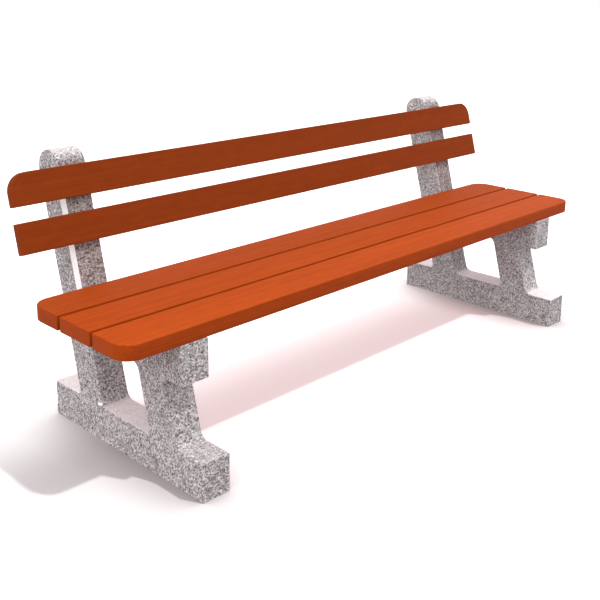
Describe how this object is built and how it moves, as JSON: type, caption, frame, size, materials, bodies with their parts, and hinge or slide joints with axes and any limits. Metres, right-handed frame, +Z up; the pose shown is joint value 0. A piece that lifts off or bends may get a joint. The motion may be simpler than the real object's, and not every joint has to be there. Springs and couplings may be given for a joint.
{
  "type": "park bench",
  "caption": "Park bench with a reclined back: glazed timber seat boards and back slats bolted to precast exposed-aggregate concrete side frames.",
  "frame": {"origin": "on the floor, in the middle of the bench's length and depth", "axes": "+X along the seat to the sitter's left, -Y to the sitter's front, +Z up"},
  "size_m": [2, 0.6798, 0.765],
  "materials": {
    "exposed_aggregate_concrete": "washed exposed aggregate, grey and white grit",
    "glazed_timber": "orange-brown semi-transparent wood glaze, satin",
    "zinc_plated_steel": "zinc plated",
    "sleeve_plastic": "plain grey conduit",
    "reinforcing_steel": "plain round bar as rolled"
  },
  "bodies": {
    "root": {"side_frame_left": "exposed_aggregate_concrete", "foot_bars_left": "reinforcing_steel", "beam_bars_left": "reinforcing_steel", "front_leg_bars_left": "reinforcing_steel", "post_bars_left": "reinforcing_steel", "side_frame_right": "exposed_aggregate_concrete", "foot_bars_right": "reinforcing_steel", "beam_bars_right": "reinforcing_steel", "front_leg_bars_right": "reinforcing_steel", "post_bars_right": "reinforcing_steel", "seat_board_front": "glazed_timber", "seat_board_middle": "glazed_timber", "seat_board_rear": "glazed_timber", "back_slat_lower": "glazed_timber", "back_slat_upper": "glazed_timber", "seat_bolts": "zinc_plated_steel", "seat_washers": "zinc_plated_steel", "seat_inserts": "zinc_plated_steel", "seat_sleeves": "sleeve_plastic", "back_bolts": "zinc_plated_steel", "back_washers": "zinc_plated_steel", "back_inserts": "zinc_plated_steel", "back_sleeves": "sleeve_plastic"}
  },
  "joints": []
}
